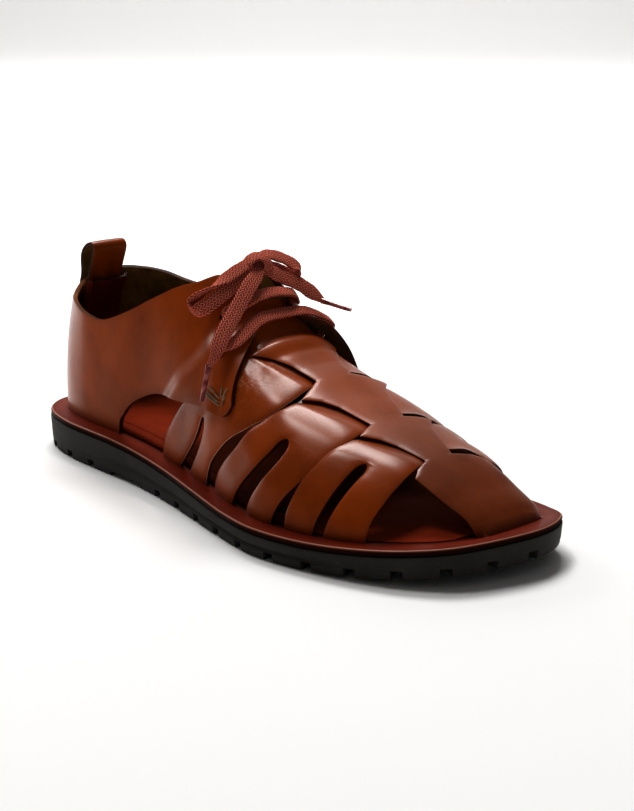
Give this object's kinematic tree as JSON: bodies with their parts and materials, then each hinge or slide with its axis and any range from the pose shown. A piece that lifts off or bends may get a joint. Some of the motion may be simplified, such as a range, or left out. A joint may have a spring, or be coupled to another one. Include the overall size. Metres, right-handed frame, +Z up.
{
  "type": "fisherman sandal",
  "caption": "Flat right-foot fisherman sandal with woven leather straps, lace-up facings, heel pull loop and a notched rubber sole.",
  "frame": {"origin": "on the floor under the middle of the heel seat, 45 mm in front of the back of the sole", "axes": "+X to the toe, +Y to the inner side of the right foot, +Z up"},
  "size_m": [0.2971, 0.1134, 0.1073],
  "materials": {
    "sole_rubber": "matte moulded rubber",
    "footbed_leather": "smooth waxed leather",
    "insole_leather": "smooth padded leather",
    "upper_leather": "glossy waxed leather",
    "lining_leather": "smooth leather",
    "lace": "flat braided cord",
    "lace_tip": "smooth wrapped tip"
  },
  "bodies": {
    "root": {"outsole": "sole_rubber", "footbed": "footbed_leather", "insole": "insole_leather", "upper": "upper_leather", "pull_strip": "upper_leather", "heel_lining": "lining_leather", "lace_bar_lower": "lace", "lace_bar_upper": "lace", "lace_knot": "lace", "lace_loop_outer": "lace", "lace_loop_inner": "lace", "lace_end_outer": "lace", "lace_end_inner": "lace", "lace_tip_outer": "lace_tip", "lace_tip_inner": "lace_tip"}
  },
  "joints": []
}
